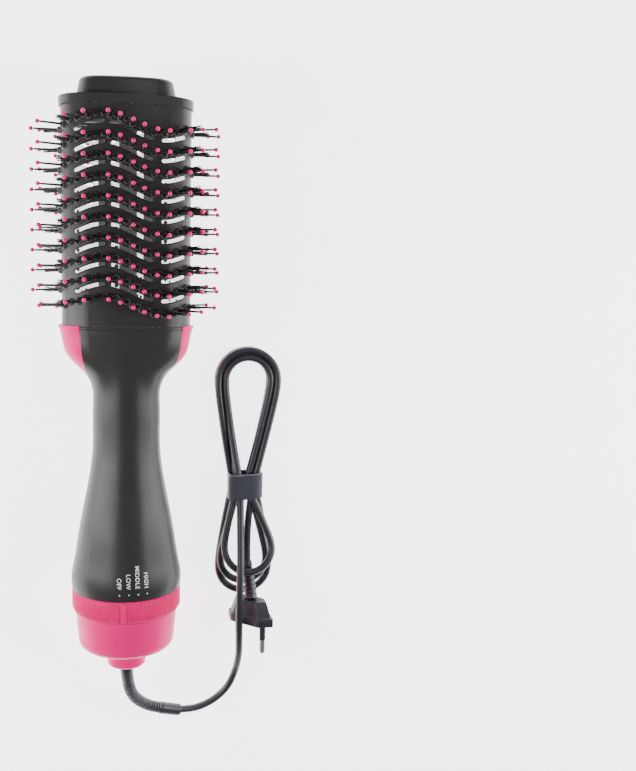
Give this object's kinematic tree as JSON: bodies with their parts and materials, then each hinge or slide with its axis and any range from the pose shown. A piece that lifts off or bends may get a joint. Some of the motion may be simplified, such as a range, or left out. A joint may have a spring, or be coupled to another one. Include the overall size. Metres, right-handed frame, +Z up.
{
  "type": "hot air brush",
  "caption": "Hair drying brush: oval vented barrel with ball-tipped pins and tufts, round handle with fan and heater, selector ring, cord tied in a hank with a two-pin plug.",
  "frame": {"origin": "under the middle of the brush, on the surface it lies on", "axes": "+Y along the brush towards the tip cap, +X across the oval barrel, +Z up out of its front face"},
  "size_m": [0.1512, 0.3952, 0.0745],
  "materials": {
    "charcoal_plastic": "satin charcoal",
    "pink_plastic": "semi-gloss pink",
    "pin_nylon": "black nylon with pink ball ends",
    "tuft_nylon": "black nylon bristle",
    "inner_plastic": "moulded black",
    "mica": "mica sheet",
    "heating_wire": "resistance wire",
    "steel": "zinc plated",
    "motor_steel": "pressed steel",
    "fan_plastic": "natural nylon",
    "board_resin": "circuit board",
    "cord_rubber": "satin blue-black cord",
    "strap_fabric": "woven hook-and-loop",
    "plug_plastic": "satin blue-black",
    "plug_brass": "nickel plated pins",
    "lint_mesh": "fine mesh"
  },
  "bodies": {
    "brush": {"tip_cap": "charcoal_plastic", "barrel_front_shell": "charcoal_plastic", "barrel_rear_shell": "charcoal_plastic", "front_pins": "pin_nylon", "rear_pins": "pin_nylon", "left_side_pins": "pin_nylon", "right_side_pins": "pin_nylon", "front_tufts": "tuft_nylon", "rear_tufts": "tuft_nylon", "air_guide": "inner_plastic", "joint_ring": "inner_plastic", "handle_front_shell": "charcoal_plastic", "handle_rear_shell": "charcoal_plastic", "left_shoulder_trim": "pink_plastic", "right_shoulder_trim": "pink_plastic", "handle_screws": "steel", "mica_sleeve": "mica", "heater_board_long": "mica", "heater_board_cross": "mica", "heating_coil": "heating_wire", "thermostat": "steel", "thermal_fuse": "steel", "motor_can": "motor_steel", "motor_mount": "inner_plastic", "rotary_switch": "inner_plastic", "circuit_board": "board_resin", "rectifier": "inner_plastic", "tail_cup": "pink_plastic", "inlet_screen": "lint_mesh", "collar": "pink_plastic", "cord_clamp": "inner_plastic", "clamp_screws": "steel", "strain_relief": "cord_rubber", "cord_tube": "cord_rubber", "cord_hank": "cord_rubber", "cord_tie": "strap_fabric", "plug_body": "plug_plastic", "plug_pins": "plug_brass", "plug_relief": "plug_plastic"},
    "selector": {"selector_ring": "pink_plastic", "switch_wiper": "inner_plastic"},
    "fan": {"motor_rotor": "motor_steel", "impeller": "fan_plastic"}
  },
  "joints": [
    {"name": "selector_turn", "type": "hinge", "parent": "brush", "child": "selector", "pos_m": [0, -0.14, 0.03725], "axis": [0, 1, 0], "range_deg": [0, 30]},
    {"name": "fan_spin", "type": "hinge", "parent": "brush", "child": "fan", "pos_m": [0, -0.1, 0.03725], "axis": [0, 1, 0], "continuous": true}
  ]
}
